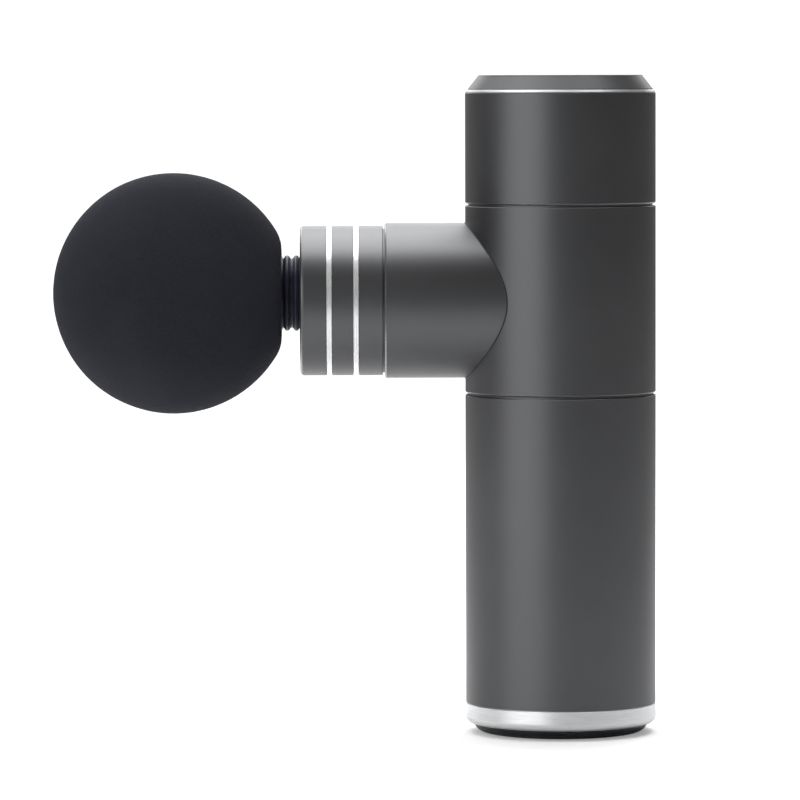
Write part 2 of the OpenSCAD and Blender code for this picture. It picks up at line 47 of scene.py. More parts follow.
# ---------------------------------------------------------------- positions, from the frame
body_lo, body_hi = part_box("handle_shell")
BODY_R = (body_hi.x - body_lo.x) / 2 / MM
house_lo, house_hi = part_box("head_housing")
col_lo, col_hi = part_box("collar")
ball_lo, ball_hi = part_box("ball_foam")
ram_lo, ram_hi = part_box("piston")
TOP_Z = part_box("top_cap")[1].z / MM
COL_R = (col_hi.y - col_lo.y) / 2 / MM
ARM_Z = (col_hi.z + col_lo.z) / 2 / MM
RAM_Z = (ram_hi.z + ram_lo.z) / 2 / MM
ARM_END = -house_lo.x / MM
COL_END = -col_lo.x / MM
BALL_FLAT = -ball_hi.x / MM
BALL_R = (ball_hi.z - ball_lo.z) / 2 / MM - 0.02
BALL_X = -ball_lo.x / MM - (ball_hi.z - ball_lo.z) / 2 / MM
SEAM_LOW = body_hi.z / MM + 0.45
SEAM_HIGH = house_hi.z / MM + 0.45
RING_TOP = body_lo.z / MM
TRIM_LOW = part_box("top_trim_ring")[0].z / MM

# ---------------------------------------------------------------- node helpers
class Nodes:
    """A small builder for one material's node tree."""

    def __init__(self, name):
        self.m = bpy.data.materials.new(name)
        self.m.use_nodes = True
        self.t = self.m.node_tree
        self.t.nodes.clear()
        self.out = self.add("ShaderNodeOutputMaterial")
        self.b = self.add("ShaderNodeBsdfPrincipled")
        self.t.links.new(self.b.outputs[0], self.out.inputs[0])
        self._co = None

    def add(self, kind, **props):
        n = self.t.nodes.new(kind)
        for k, v in props.items():
            setattr(n, k, v)
        return n

    def put(self, socket, value):
        if hasattr(value, "is_linked") or isinstance(value, bpy.types.NodeSocket):
            self.t.links.new(value, socket)
        else:
            socket.default_value = value

    def co(self):
        if self._co is None:
            self._co = self.add("ShaderNodeTexCoord").outputs["Object"]
        return self._co

    def xyz(self):
        s = self.add("ShaderNodeSeparateXYZ")
        self.put(s.inputs[0], self.co())
        return s.outputs[0], s.outputs[1], s.outputs[2]

    def math(self, op, a, b=0.0, c=None, clamp=False):
        n = self.add("ShaderNodeMath", operation=op, use_clamp=clamp)
        self.put(n.inputs[0], a)
        self.put(n.inputs[1], b)
        if c is not None:
            self.put(n.inputs[2], c)
        return n.outputs[0]

    def vec(self, x, y, z):
        n = self.add("ShaderNodeCombineXYZ")
        for i, v in enumerate((x, y, z)):
            self.put(n.inputs[i], v)
        return n.outputs[0]

    def scaled(self, sx, sy, sz, v=None):
        n = self.add("ShaderNodeMapping")
        self.put(n.inputs["Vector"], v if v is not None else self.co())
        n.inputs["Scale"].default_value = (sx, sy, sz)
        return n.outputs[0]

    def noise(self, scale, detail=3.0, rough=0.55, v=None, distortion=0.0):
        n = self.add("ShaderNodeTexNoise")
        self.put(n.inputs["Vector"], v if v is not None else self.co())
        n.inputs["Scale"].default_value = scale
        n.inputs["Detail"].default_value = detail
        n.inputs["Roughness"].default_value = rough
        n.inputs["Distortion"].default_value = distortion
        return n.outputs["Fac"]

    def cells(self, scale, feature="F1", v=None, rand=1.0):
        n = self.add("ShaderNodeTexVoronoi", feature=feature)
        self.put(n.inputs["Vector"], v if v is not None else self.co())
        n.inputs["Scale"].default_value = scale
        n.inputs["Randomness"].default_value = rand
        return n.outputs["Distance"]

    def span(self, v, a, b, lo, hi, smooth=False):
        n = self.add("ShaderNodeMapRange")
        if smooth:
            n.interpolation_type = "SMOOTHSTEP"
        self.put(n.inputs["Value"], v)
        n.inputs["From Min"].default_value = a
        n.inputs["From Max"].default_value = b
        n.inputs["To Min"].default_value = lo
        n.inputs["To Max"].default_value = hi
        return n.outputs["Result"]

    def mix(self, fac, a, b):
        n = self.add("ShaderNodeMix", data_type="RGBA")
        self.put(n.inputs[0], fac)
        self.put(n.inputs[6], a if not isinstance(a, tuple) else (*a, 1.0)[:4])
        self.put(n.inputs[7], b if not isinstance(b, tuple) else (*b, 1.0)[:4])
        return n.outputs[2]

    def mixf(self, fac, a, b):
        n = self.add("ShaderNodeMix", data_type="FLOAT")
        self.put(n.inputs[0], fac)
        self.put(n.inputs[2], a)
        self.put(n.inputs[3], b)
        return n.outputs[0]

    def bump(self, height, distance, strength=1.0, normal=None):
        n = self.add("ShaderNodeBump")
        n.inputs["Strength"].default_value = strength
        n.inputs["Distance"].default_value = distance
        self.put(n.inputs["Height"], height)
        if normal is not None:
            self.put(n.inputs["Normal"], normal)
        return n.outputs[0]

    def set(self, **kw):
        names = dict(color="Base Color", rough="Roughness", metal="Metallic", normal="Normal", spec="Specular IOR Level", coat="Coat Weight",
                     coat_rough="Coat Roughness", aniso="Anisotropic", aniso_rot="Anisotropic Rotation", tangent="Tangent", sheen="Sheen Weight",
                     sheen_rough="Sheen Roughness", ior="IOR", emit="Emission Strength", emit_color="Emission Color", trans="Transmission Weight", alpha="Alpha",
                     sub="Subsurface Weight", diff_rough="Diffuse Roughness", tint="Specular Tint", sheen_tint="Sheen Tint")
        for k, v in kw.items():
            s = self.b.inputs[names[k]]
            if isinstance(v, tuple) and len(v) == 3 and s.type == "RGBA":
                v = (*v, 1.0)
            self.put(s, v)
        return self.m


def box_mask(g, v, lo, hi, soft=0.00002):
    """1 where lo < v < hi, else 0, with short ramps."""
    a = g.span(v, lo - soft, lo + soft, 0.0, 1.0)
    b = g.span(v, hi - soft, hi + soft, 1.0, 0.0)
    return g.math("MULTIPLY", a, b)


# ---------------------------------------------------------------- materials
DARK = (0.108, 0.109, 0.1125)
DARK_2 = (0.122, 0.123, 0.1265)


def blasted_metal(name, marks=(), axis="Z", tone=1.0):
    """Fine bead-blasted, dark anodised aluminium. marks are (coordinate, low, high) bands in metres that are cut bright after anodising."""
    g = Nodes(name)
    x, y, z = g.xyz()
    broad = g.noise(38.0, 3.0, 0.5)
    grain = g.noise(5200.0, 2.0, 0.6)
    speck = g.cells(3600.0)
    lines = g.noise(1.0, 2.0, 0.5, v=g.scaled(60.0, 60.0, 5200.0) if axis == "Z" else g.scaled(5200.0, 60.0, 60.0))
    # tone scales the whole colour; the cap's 0.62 is painted shade
    col = g.mix(g.span(broad, 0.3, 0.7, 0.0, 1.0), tuple(c * tone for c in DARK), tuple(c * tone for c in DARK_2))
    col = g.mix(g.span(grain, 0.3, 0.72, 0.0, 0.22), col, tuple(c * tone for c in (0.150, 0.151, 0.156)))
    rough = g.math("ADD", g.span(grain, 0.25, 0.75, 0.370, 0.460), g.span(broad, 0.3, 0.7, -0.02, 0.025))
    metal = 1.0
    if marks:
        mask = None
        for which, lo, hi in marks:
            v = {"x": x, "y": y, "z": z}[which]
            one = box_mask(g, v, lo, hi)
            mask = one if mask is None else g.math("MAXIMUM", mask, one)
        turned = g.span(lines, 0.35, 0.65, 0.0, 1.0)
        bright = g.mix(turned, (0.25, 0.254, 0.262), (0.35, 0.354, 0.362))
        col = g.mix(mask, col, bright)
        rough = g.mixf(mask, rough, 0.34)
    n1 = g.bump(grain, 0.0000055, 0.55)
    n2 = g.bump(speck, 0.000004, 0.35, normal=n1)
    n3 = g.bump(broad, 0.00006, 0.12, normal=n2)
    return g.set(color=col, rough=rough, metal=metal, normal=n3, spec=0.5)


def brushed_bright(name, axis="Z", lo=(0.70, 0.705, 0.715), hi=(0.86, 0.865, 0.87), metal=0.82, rough=(0.26, 0.40)):
    """Bright turned aluminium: fine lines run round the ring."""
    g = Nodes(name)
    if axis == "Z":
        v1, v2 = g.scaled(90.0, 90.0, 9000.0), g.scaled(260.0, 260.0, 3200.0)
    else:
        v1, v2 = g.scaled(9000.0, 90.0, 90.0), g.scaled(3200.0, 260.0, 260.0)
    fine = g.noise(1.0, 3.0, 0.6, v=v1)
    mid = g.noise(1.0, 2.0, 0.5, v=v2)
    smudge = g.noise(55.0, 3.0, 0.55)
    lines = g.math("ADD", g.math("MULTIPLY", fine, 0.65), g.math("MULTIPLY", mid, 0.35))
    col = g.mix(g.span(lines, 0.36, 0.64, 0.0, 1.0), lo, hi)
    col = g.mix(g.span(smudge, 0.4, 0.75, 0.0, 0.25), col, tuple(c * 0.9 for c in lo))
    r = g.math("ADD", g.span(lines, 0.35, 0.65, rough[0], rough[1]), g.span(smudge, 0.3, 0.7, -0.02, 0.04))
    n = g.bump(lines, 0.000006, 0.5)
    return g.set(color=col, rough=r, metal=metal, normal=n)


def plastic(name, base, rough=0.4, grain=0.0002, depth=0.000008, vary=0.12, coat=0.0, metal=0.0, spec=0.5):
    """Moulded plastic with a fine spark-eroded texture."""
    g = Nodes(name)
    fine = g.noise(1.0 / grain, 2.0, 0.6)
    pits = g.cells(0.7 / grain)
    broad = g.noise(70.0, 3.0, 0.5)
    dark = tuple(c * (1 - vary) for c in base)
    light = tuple(min(1.0, c * (1 + vary) + 0.001) for c in base)
    col = g.mix(g.span(g.math("ADD", g.math("MULTIPLY", broad, 0.6), g.math("MULTIPLY", fine, 0.4)), 0.35, 0.65, 0.0, 1.0), dark, light)
    r = g.math("ADD", g.span(fine, 0.25, 0.75, rough - 0.05, rough + 0.06), g.span(broad, 0.3, 0.7, -0.02, 0.03), clamp=True)
    n = g.bump(pits, depth * 0.6, 0.5, normal=g.bump(fine, depth, 0.7))
    return g.set(color=col, rough=r, metal=metal, normal=n, coat=coat, spec=spec)


def turned_metal(name, base, rough=0.28, axis="Z", metal=1.0, depth=0.000006, ring_x=0.0, ring_z=0.0):
    """Machined metal with tool lines round its axis."""
    g = Nodes(name)
    x, y, z = g.xyz()
    if axis == "Z":
        along, p, q = z, g.math("SUBTRACT", x, ring_x), y
    elif axis == "Y":
        along, p, q = y, x, g.math("SUBTRACT", z, ring_z)
    else:
        along, p, q = x, y, g.math("SUBTRACT", z, ring_z)
    r2 = g.math("SQRT", g.math("ADD", g.math("MULTIPLY", p, p), g.math("MULTIPLY", q, q)))
    tool = g.noise(1.0, 3.0, 0.6, v=g.vec(g.math("MULTIPLY", r2, 7000.0), g.math("MULTIPLY", along, 7000.0), 0.0))
    smudge = g.noise(120.0, 3.0, 0.5)
    dark = tuple(c * 0.80 for c in base)
    col = g.mix(g.span(tool, 0.35, 0.65, 0.0, 1.0), dark, base)
    col = g.mix(g.span(smudge, 0.45, 0.75, 0.0, 0.3), col, tuple(c * 0.7 for c in base))
    rr = g.math("ADD", g.span(tool, 0.3, 0.7, rough - 0.06, rough + 0.08), g.span(smudge, 0.3, 0.7, -0.02, 0.05))
    return g.set(color=col, rough=rr, metal=metal, normal=g.bump(tool, depth, 0.6))


def foam():
    """Closed-cell EVA: matte near-black skin, fine cells, faint mottling."""
    g = Nodes("eva_foam")
    broad = g.noise(45.0, 4.0, 0.55)
    mid = g.noise(420.0, 4.0, 0.6)
    fine = g.noise(2600.0, 3.0, 0.65)
    cell = g.cells(2300.0, "F1")
    tiny = g.cells(5200.0, "F1")
    col = g.mix(g.span(broad, 0.32, 0.68, 0.0, 1.0), (0.0258, 0.0268, 0.0350), (0.0338, 0.0349, 0.0446))
    col = g.mix(g.span(fine, 0.42, 0.72, 0.0, 0.45), col, (0.047, 0.0482, 0.058))
    # darker at the centre of each cell, where the cell bump dips: painted shade in the pores
    col = g.mix(g.span(cell, 0.02, 0.22, 0.65, 0.0), col, (0.0135, 0.0140, 0.0180))
    rough = g.span(fine, 0.3, 0.7, 0.80, 0.93)
    n = g.bump(mid, 0.00009, 0.30)
    n = g.bump(cell, 0.00006, 0.55, normal=n)
    n = g.bump(tiny, 0.000030, 0.40, normal=n)
    n = g.bump(fine, 0.000035, 0.45, normal=n)
    return g.set(color=col, rough=rough, normal=n, spec=0.05, diff_rough=1.0)


def rubber(name, base=(0.018, 0.018, 0.019)):
    g = Nodes(name)
    fine = g.noise(3200.0, 3.0, 0.6)
    broad = g.noise(160.0, 3.0, 0.5)
    col = g.mix(g.span(broad, 0.35, 0.65, 0.0, 1.0), tuple(c * 0.8 for c in base), tuple(c * 1.35 for c in base))
    return g.set(color=col, rough=g.span(fine, 0.3, 0.7, 0.55, 0.72), normal=g.bump(fine, 0.00001, 0.6), spec=0.4)


def gloss_black(name, base=(0.0075, 0.0077, 0.0105), rough=0.10):
    """Polished black moulding with faint flow marks."""
    g = Nodes(name)
    flow = g.noise(1.0, 3.0, 0.5, v=g.scaled(600.0, 120.0, 120.0))
    fine = g.noise(2400.0, 2.0, 0.5)
    col = g.mix(g.span(flow, 0.35, 0.65, 0.0, 1.0), base, tuple(c * 1.7 for c in base))
    r = g.math("ADD", g.span(flow, 0.35, 0.65, rough - 0.02, rough + 0.05), g.span(fine, 0.3, 0.7, -0.01, 0.02), clamp=True)
    return g.set(color=col, rough=r, normal=g.bump(flow, 0.000008, 0.25), spec=0.20)


def panel_black(name):
    """Satin black base panel: even fine texture with faint rings from turning the mould."""
    g = Nodes(name)
    x, y, z = g.xyz()
    r = g.math("SQRT", g.math("ADD", g.math("MULTIPLY", x, x), g.math("MULTIPLY", y, y)))
    rings = g.noise(1.0, 2.0, 0.5, v=g.vec(g.math("MULTIPLY", r, 5200.0), 0.0, 0.0))
    fine = g.noise(4200.0, 2.0, 0.6)
    scuff = g.noise(1.0, 4.0, 0.65, v=g.scaled(900.0, 140.0, 300.0))
    col = g.mix(g.span(rings, 0.35, 0.65, 0.0, 1.0), (0.0085, 0.0085, 0.0090), (0.0135, 0.0135, 0.0142))
    col = g.mix(g.span(scuff, 0.60, 0.80, 0.0, 0.25), col, (0.045, 0.045, 0.047))
    rr = g.math("ADD", g.span(fine, 0.3, 0.7, 0.26, 0.34), g.span(scuff, 0.5, 0.8, 0.0, 0.12))
    return g.set(color=col, rough=rr, normal=g.bump(rings, 0.000004, 0.35, normal=g.bump(fine, 0.000004, 0.6)), spec=0.5)


def circuit(name):
    """Green solder mask over copper tracks, with exposed pads."""
    g = Nodes(name)
    v = g.scaled(1.0, 1.0, 1.0)
    track = g.add("ShaderNodeTexBrick")
    g.put(track.inputs["Vector"], g.scaled(900.0, 900.0, 900.0))
    track.inputs["Scale"].default_value = 1.0
    track.inputs["Mortar Size"].default_value = 0.08
    track.inputs["Color1"].default_value = (0, 0, 0, 1)
    track.inputs["Color2"].default_value = (0.2, 0.2, 0.2, 1)
    track.inputs["Mortar"].default_value = (1, 1, 1, 1)
    pads = g.span(g.cells(520.0, "F1"), 0.16, 0.20, 1.0, 0.0)
    weave = g.noise(2200.0, 2.0, 0.5, v=v)
    col = g.mix(track.outputs["Color"], (0.010, 0.085, 0.038), (0.030, 0.165, 0.070))
    col = g.mix(g.span(weave, 0.3, 0.7, 0.0, 0.3), col, (0.006, 0.060, 0.028))
    col = g.mix(pads, col, (0.60, 0.45, 0.18))
    return g.set(color=col, rough=g.mixf(pads, g.span(weave, 0.3, 0.7, 0.30, 0.42), 0.3), metal=pads, normal=g.bump(track.outputs["Color"], 0.00002, 0.5))


def wire_skin(name, base):
    g = Nodes(name)
    fine = g.noise(1500.0, 3.0, 0.5)
    col = g.mix(g.span(fine, 0.3, 0.7, 0.0, 1.0), tuple(c * 0.82 for c in base), base)
    return g.set(color=col, rough=g.span(fine, 0.3, 0.7, 0.38, 0.52), normal=g.bump(fine, 0.00001, 0.4))


def wound_copper(name):
    """Enamelled copper wire laid side by side round each tooth."""
    g = Nodes(name)
    w = g.add("ShaderNodeTexWave", wave_type="RINGS", rings_direction="Z", wave_profile="SIN")
    g.put(w.inputs["Vector"], g.scaled(1.0, 1.0, 1.0))
    w.inputs["Scale"].default_value = 520.0
    w.inputs["Distortion"].default_value = 0.6
    w.inputs["Detail"].default_value = 1.0
    tone = g.noise(300.0, 3.0, 0.5)
    # the wave runs dark between the turns and bright on their crowns, with the bump on the same wave: painted shade in
    # the grooves between turns
    col = g.mix(w.outputs["Fac"], (0.16, 0.050, 0.018), (0.62, 0.255, 0.095))
    col = g.mix(g.span(tone, 0.35, 0.7, 0.0, 0.35), col, (0.42, 0.13, 0.04))
    return g.set(color=col, rough=g.span(tone, 0.3, 0.7, 0.22, 0.34), metal=0.9, normal=g.bump(w.outputs["Fac"], 0.00008, 0.8), coat=0.3)


def laminated(name):
    """Stacked electrical steel: thin layers along the motor axis."""
    g = Nodes(name)
    x, y, z = g.xyz()
    saw = g.math("FRACT", g.math("MULTIPLY", z, 1.0 / 0.00035))
    edge = g.span(saw, 0.0, 0.18, 1.0, 0.0)
    tone = g.noise(1.0, 2.0, 0.5, v=g.vec(0.0, 0.0, g.math("FLOOR", g.math("MULTIPLY", z, 1.0 / 0.00035))))
    col = g.mix(g.span(tone, 0.3, 0.7, 0.0, 1.0), (0.22, 0.225, 0.24), (0.34, 0.345, 0.36))
    col = g.mix(edge, col, (0.06, 0.06, 0.065))
    return g.set(color=col, rough=g.span(tone, 0.3, 0.7, 0.32, 0.5), metal=0.95, normal=g.bump(edge, 0.00004, 0.6))


def cell_wrap(name):
    """Shrink wrap on the cells: blue film with long faint creases, bright bare ends."""
    g = Nodes(name)
    x, y, z = g.xyz()
    crease = g.noise(1.0, 3.0, 0.55, v=g.scaled(500.0, 500.0, 35.0))
    tone = g.noise(60.0, 2.0, 0.5)
    col = g.mix(g.span(crease, 0.35, 0.68, 0.0, 1.0), (0.018, 0.100, 0.250), (0.036, 0.165, 0.370))
    col = g.mix(g.span(tone, 0.4, 0.7, 0.0, 0.3), col, (0.012, 0.070, 0.190))
    ends = g.math("MAXIMUM", g.span(z, 0.0097, 0.00985, 1.0, 0.0), g.span(z, 0.07285, 0.0730, 0.0, 1.0))
    col = g.mix(ends, col, (0.60, 0.60, 0.60))
    return g.set(color=col, rough=g.mixf(ends, g.span(crease, 0.3, 0.7, 0.22, 0.36), 0.3), metal=ends, normal=g.bump(crease, 0.00003, 0.4))


def light_pipe(name):
    """Frosted clear pipe, unlit."""
    g = Nodes(name)
    frost = g.noise(3800.0, 3.0, 0.6)
    broad = g.noise(400.0, 2.0, 0.5)
    col = g.mix(g.span(broad, 0.3, 0.7, 0.0, 1.0), (0.55, 0.57, 0.60), (0.74, 0.76, 0.78))
    return g.set(color=col, rough=g.span(frost, 0.3, 0.7, 0.22, 0.36), normal=g.bump(frost, 0.000008, 0.6), spec=0.55, sub=0.0)


M = {}
s_lo, s_hi = SEAM_LOW * MM, SEAM_HIGH * MM
M["shell"] = blasted_metal("anodised_shell", marks=[("z", 0.0, (RING_TOP + 0.16) * MM)])
M["housing"] = blasted_metal("anodised_housing", marks=[("z", s_lo, s_lo + 0.00036), ("x", -(ARM_END + 0.01) * MM, -(ARM_END - 0.30) * MM)])
M["cover"] = blasted_metal("anodised_cover", marks=[("z", s_hi, s_hi + 0.00036)])
# the cap takes the shell metal at 0.62 of its colour, so the top reads darker: painted shade that holds down the
# overhead light on it
M["cap"] = blasted_metal("anodised_cap_painted_shade", tone=0.62)
M["collar"] = blasted_metal("anodised_collar", marks=[("x", -(COL_END + 0.01) * MM, -(COL_END - 0.42) * MM)], axis="X")
M["ring"] = brushed_bright("brushed_ring", "Z")
M["trim"] = brushed_bright("polished_trim", "Z", (0.40, 0.404, 0.412), (0.54, 0.545, 0.555), 0.9, (0.30, 0.42))
M["inlay"] = brushed_bright("polished_inlay", "X", (0.86, 0.862, 0.865), (0.96, 0.962, 0.965), 0.55, (0.20, 0.32))
M["panel"] = panel_black("panel_black")
M["button"] = plastic("button_black", (0.022, 0.022, 0.024), 0.42)
M["icon"] = plastic("icon_grey", (0.42, 0.43, 0.44), 0.4)
M["lens"] = light_pipe("light_pipe")
M["led"] = plastic("led_resin", (0.72, 0.66, 0.40), 0.3)
M["gloss"] = gloss_black("neck_black", (0.0190, 0.0198, 0.0330), 0.36)
M["foam"] = foam()
M["rubber"] = rubber("seal_rubber")
M["inner"] = plastic("inner_plastic", (0.050, 0.050, 0.054), 0.55, 0.0004, 0.00002)
M["polymer"] = plastic("sleeve_polymer", (0.62, 0.60, 0.53), 0.38, 0.0003, 0.00001)
M["pcb"] = circuit("circuit_board")
M["chip"] = plastic("chip_black", (0.020, 0.020, 0.021), 0.45, 0.00012, 0.000006)
M["cell"] = cell_wrap("cell_wrap")
M["nickel"] = turned_metal("nickel_strip", (0.56, 0.54, 0.49), 0.3)
M["red"] = wire_skin("wire_red", (0.46, 0.020, 0.018))
M["yellow"] = wire_skin("wire_yellow", (0.55, 0.36, 0.03))
M["steel"] = turned_metal("screw_steel", (0.48, 0.49, 0.51), 0.3)
M["port"] = turned_metal("port_steel", (0.55, 0.56, 0.58), 0.24, "Y", ring_z=0.015)
M["bearing"] = turned_metal("ground_steel", (0.62, 0.63, 0.65), 0.16)
M["lams"] = laminated("laminations")
M["black_steel"] = turned_metal("black_steel", (0.045, 0.045, 0.047), 0.35)
M["can"] = turned_metal("rotor_steel", (0.060, 0.060, 0.065), 0.32)
M["magnet"] = turned_metal("magnet_plate", (0.40, 0.41, 0.43), 0.22)
M["copper"] = wound_copper("copper_wire")
M["brass"] = turned_metal("crank_brass", (0.58, 0.44, 0.20), 0.24)
M["bronze"] = turned_metal("sintered_bronze", (0.42, 0.27, 0.12), 0.42)
M["alu"] = turned_metal("machined_alu", (0.60, 0.61, 0.63), 0.30)
M["alu_x"] = turned_metal("machined_alu_x", (0.60, 0.61, 0.63), 0.26, "X", ring_z=RAM_Z * MM)
# a near-black rubber for the bead at the arm's root: painted shade along the crease
M["bead"] = rubber("crease_shade_line", (0.020, 0.020, 0.021))
M["contact"] = turned_metal("contact_gold", (0.75, 0.55, 0.25), 0.2)

CARRY = dict(
    base_panel="panel", power_button="button", indicator_lenses="lens", indicator_lights="led", tact_switch="steel", control_board="pcb",
    base_ring="ring", handle_shell="shell", usb_c_socket="port", main_board="pcb", board_parts="chip", board_screws="steel",
    battery_cells="cell", cell_tabs="nickel", battery_carrier="inner", battery_leads="red", bay_lid="inner", lid_screws="steel",
    head_housing="housing", motor_cover="cover", top_trim_ring="trim", top_cap="cap", motor_plate="alu", plate_screws="steel",
    motor_base="alu", motor_screws="steel", motor_bearings="bearing", hall_board="pcb", stator_core="lams", windings="copper",
    motor_leads="yellow", rotor_can="can", magnets="magnet", motor_shaft="bearing", crank_disc="brass", crank_screw="steel",
    grub_screw="black_steel", connecting_rod="alu", big_end_bearing="bearing", small_end_bush="bronze", wrist_pin="bearing",
    piston="alu_x", socket_bumper="rubber", guide_sleeve="polymer", wiper_seal="rubber", collar="collar", inlay_ring_front="inlay",
    inlay_ring_rear="inlay", head_adapter="gloss", adapter_o_rings="rubber", ball_foam="foam",
)
for node, key in CARRY.items():
    slots = NODES[node].data.materials
    for i in range(max(1, len(slots))):
        if len(slots):
            slots[i] = M[key]
        else:
            slots.append(M[key])


# ---------------------------------------------------------------- mesh helpers
def new_object(name, bm, mat, smooth=True, sharp=None):
    me = bpy.data.meshes.new(name)
    bmesh.ops.recalc_face_normals(bm, faces=bm.faces)
    for f in bm.faces:
        f.smooth = smooth
    if sharp is not None:
        for e in bm.edges:
            if len(e.link_faces) == 2 and e.calc_face_angle(0.0) > sharp:
                e.smooth = False
    bm.to_mesh(me)
    bm.free()
    me.materials.append(mat)
    o = bpy.data.objects.new(name, me)
    scene.collection.objects.link(o)
    return o


def lathe(bm, pts, steps, place, wobble=None):
    """Revolves (distance, radius) points; place(distance, radius, angle) gives the point. Ends on the axis are closed with fans."""
    rings = []
    for i, (d, r) in enumerate(pts):
        if r < 1e-9:
            rings.append([bm.verts.new(place(d, 0.0, 0.0))])
        else:
            rings.append([bm.verts.new(place(d, r, 2 * math.pi * k / steps)) for k in range(steps)])
    for a, b in zip(rings, rings[1:]):
        for k in range(steps):
            k2 = (k + 1) % steps
            if len(a) == 1 and len(b) == 1:
                continue
            if len(a) == 1:
                bm.faces.new((a[0], b[k], b[k2]))
            elif len(b) == 1:
                bm.faces.new((a[k], b[0], a[k2]))
            else:
                bm.faces.new((a[k], b[k], b[k2], a[k2]))
    return rings


def on_ram(d, r, a):
    return Vector((-d * MM, r * math.cos(a) * MM, (RAM_Z + r * math.sin(a)) * MM))


def on_body(d, r, a):
    return Vector((r * math.cos(a) * MM, r * math.sin(a) * MM, d * MM))


def arc_pts(cx, cy, r, a0, a1, n):
    return [(cx + r * math.cos(math.radians(a0 + (a1 - a0) * i / n)), cy + r * math.sin(math.radians(a0 + (a1 - a0) * i / n))) for i in range(n + 1)]


# ---------------------------------------------------------------- the foam ball
def build_ball():
    f = 7.6  # radius of the eased rim where the flat meets the sphere
    R = BALL_R - 0.03
    sc = BALL_FLAT + f
    rc = math.sqrt((R - f) ** 2 - (BALL_X - sc) ** 2)
    tilt = math.degrees(math.atan2(rc, sc - BALL_X))  # from the ball centre to the rim's centre
    pts = [(77.06, 0.0), (77.06, 3.0), (77.06, 5.55), (73.4, 8.66), (72.0, 8.66), (72.0, 7.06), (69.4, 7.06), (68.2, 9.66), (66.5, 9.66), (66.5, 8.06), (64.0, 8.06), (BALL_FLAT + 0.35, 8.06)]
    pts += [(BALL_FLAT + 0.12, 8.14), (BALL_FLAT, 8.36)]
    for i in range(1, 4):
        pts.append((BALL_FLAT, 8.36 + (rc - 8.36) * i / 4))
    pts += [(x, y) for x, y in arc_pts(sc, rc, f, 180, tilt, 16)]
    n = 190
    for i in range(1, n + 1):
        a = math.radians(tilt * (1 - i / n))
        pts.append((BALL_X + R * math.cos(a), R * math.sin(a) if i < n else 0.0))
    bm = bmesh.new()
    lathe(bm, pts, 380, on_ram)
    centre = Vector((-BALL_X * MM, 0.0, RAM_Z * MM))
    for v in bm.verts:
        d = v.co - centre
        if d.length < (R - 1.0) * MM and v.co.x > -BALL_X * MM:
            continue
        if v.co.x > -(BALL_FLAT + 0.2) * MM:
            continue
        # soft hand-feel lumps, then the skin of the foam
        p = v.co * 1000.0
        a = noise.noise(p * 0.11) * 0.035
        b = noise.fractal(p * 0.55, 0.9, 2.1, 3) * 0.016
        c = noise.noise(p * 1.9) * 0.012
        v.co += d.normalized() * (-0.045 + a * 0.8 + b + c) * MM
        e = v.co - centre
        if e.length > (BALL_R - 0.005) * MM:
            v.co = centre + e.normalized() * (BALL_R - 0.005) * MM
    o = new_object("foam_ball", bm, M["foam"], True, math.radians(40))
    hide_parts("ball_foam")
    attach(o, "head")
    return o


build_ball()


# ---------------------------------------------------------------- the painted crease shade round the arm's root: a thin near-black bead where the arm meets the body
def build_crease_shade_line():
    r_arm = COL_R + 0.6
    bead, sides, n = 0.17, 10, 300
    bm = bmesh.new()
    pts = []
    for i in range(n):
        a = 2 * math.pi * i / n
        y = r_arm * math.cos(a)
        pts.append(Vector((-math.sqrt(BODY_R ** 2 - y * y), y, ARM_Z + r_arm * math.sin(a))))
    rings = []
    for i, p in enumerate(pts):
        t = (pts[(i + 1) % n] - pts[i - 1]).normalized()
        out = Vector((p.x, p.y, 0)).normalized()
        u = (out - t * out.dot(t)).normalized()
        w = t.cross(u)
        rings.append([bm.verts.new((p + bead * (math.cos(2 * math.pi * k / sides) * u + math.sin(2 * math.pi * k / sides) * w)) * MM) for k in range(sides)])
    for i in range(n):
        a, b = rings[i], rings[(i + 1) % n]
        for k in range(sides):
            bm.faces.new((a[k], b[k], b[(k + 1) % sides], a[(k + 1) % sides]))
    o = new_object("arm_crease_shade_line", bm, M["bead"])
    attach(o, "housing")
    return o


build_crease_shade_line()


